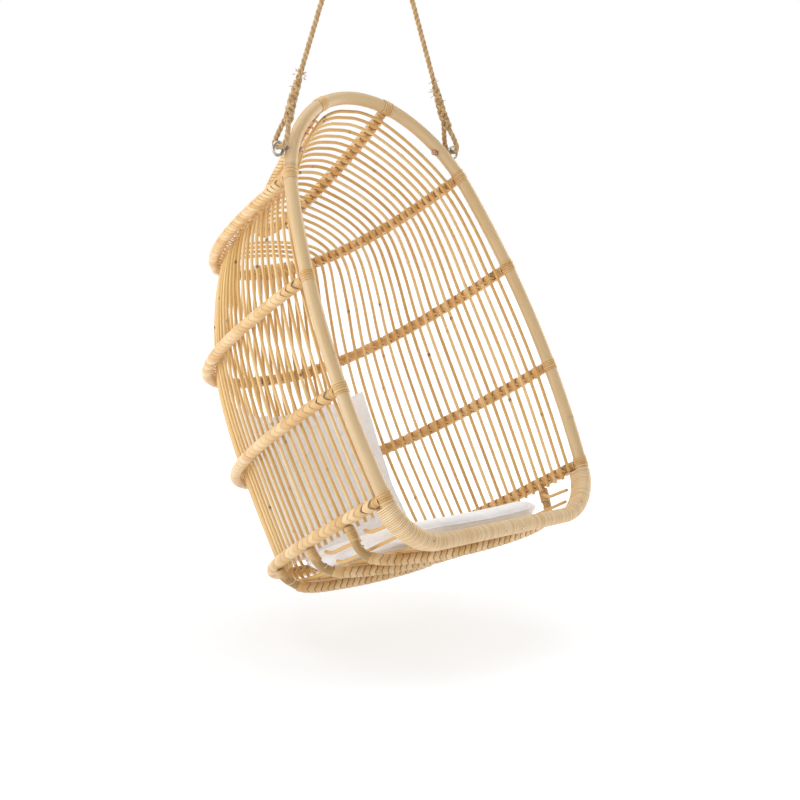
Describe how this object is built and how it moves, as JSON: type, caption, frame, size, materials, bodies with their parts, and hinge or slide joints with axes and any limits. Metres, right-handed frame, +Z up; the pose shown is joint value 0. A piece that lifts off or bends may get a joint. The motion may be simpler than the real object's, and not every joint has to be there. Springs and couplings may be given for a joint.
{
  "type": "hanging egg chair",
  "caption": "One-seat hanging egg chair: peeled rattan hoop, braided ribs and thin cane arches, loose seat and back cushions, hung by two spliced ropes from a ring and a ceiling screw hook.",
  "frame": {"origin": "where the ceiling hook's screw enters the ceiling, at the root of its thread; the chair hangs straight below", "axes": "+Z up along the hook's screw; the chair's open front faces -Y; +X is to the viewer's right when facing the chair"},
  "size_m": [0.7216, 0.9093, 1.8565],
  "materials": {
    "rattan_pole": "peeled rattan pole, sanded smooth under a thin clear satin lacquer",
    "rattan_cane": "thin natural rattan cane with its nodes left on, satin",
    "rattan_peel": "flat rattan peel, wound and braided, satin skin side out",
    "hemp_rope": "three-strand natural fibre rope, hairy and matt",
    "canvas": "plain woven off-white cotton canvas",
    "steel": "bright zinc-plated steel, lightly brushed"
  },
  "bodies": {
    "hook": {"ceiling_hook": "steel"},
    "ring": {"hanging_ring": "steel"},
    "ropes": {"rope_left": "hemp_rope", "rope_right": "hemp_rope", "rope_splices": "hemp_rope"},
    "chair": {"bolt_washers": "steel", "cane_arch_01": "rattan_cane", "cane_arch_02": "rattan_cane", "cane_arch_03": "rattan_cane", "cane_arch_04": "rattan_cane", "cane_arch_05": "rattan_cane", "cane_arch_06": "rattan_cane", "cane_arch_07": "rattan_cane", "cane_arch_08": "rattan_cane", "cane_arch_09": "rattan_cane", "cane_arch_10": "rattan_cane", "cane_arch_11": "rattan_cane", "cane_arch_12": "rattan_cane", "cane_arch_13": "rattan_cane", "cane_arch_14": "rattan_cane", "cane_arch_15": "rattan_cane", "cane_arch_16": "rattan_cane", "cane_arch_17": "rattan_cane", "cane_arch_18": "rattan_cane", "cane_arch_19": "rattan_cane", "cane_arch_20": "rattan_cane", "cane_arch_21": "rattan_cane", "cane_arch_22": "rattan_cane", "cane_arch_23": "rattan_cane", "cane_arch_24": "rattan_cane", "cap_nuts": "steel", "centre_back_canes": "rattan_cane", "eye_bolt_left": "steel", "eye_bolt_right": "steel", "front_hoop": "rattan_pole", "front_rail_wrap": "rattan_peel", "front_seat_bar": "rattan_pole", "rib_1": "rattan_pole", "rib_1_braid": "rattan_peel", "rib_2": "rattan_pole", "rib_2_braid": "rattan_peel", "rib_3": "rattan_pole", "rib_3_braid": "rattan_peel", "rib_4": "rattan_pole", "rib_4_braid": "rattan_peel", "rib_5": "rattan_pole", "rib_5_braid": "rattan_peel", "rib_bindings": "rattan_peel", "seat_bar_1": "rattan_pole", "seat_bar_1_braid": "rattan_peel", "seat_bar_2": "rattan_pole", "seat_bar_2_braid": "rattan_peel", "seat_bar_3": "rattan_pole", "seat_bar_3_braid": "rattan_peel", "seat_bar_wraps": "rattan_peel", "side_seat_canes": "rattan_cane"},
    "cushions": {"seat_cushion": "canvas", "back_cushion": "canvas"}
  },
  "joints": [
    {"name": "side_sway", "type": "hinge", "parent": "hook", "child": "ring", "pos_m": [0, 0, -0.051], "axis": [0, 1, 0], "range_deg": [-18, 18]},
    {"name": "fore_aft_swing", "type": "hinge", "parent": "ring", "child": "ropes", "pos_m": [0, 0, -0.1001], "axis": [1, 0, 0], "range_deg": [-25, 25]},
    {"name": "chair_tip", "type": "hinge", "parent": "ropes", "child": "chair", "pos_m": [0, 0, -0.7651], "axis": [1, 0, 0], "range_deg": [-22, 22]},
    {"name": "cushion_lift", "type": "slide", "parent": "chair", "child": "cushions", "axis": [0, 0, 1], "range_m": [0, 0.12]}
  ]
}
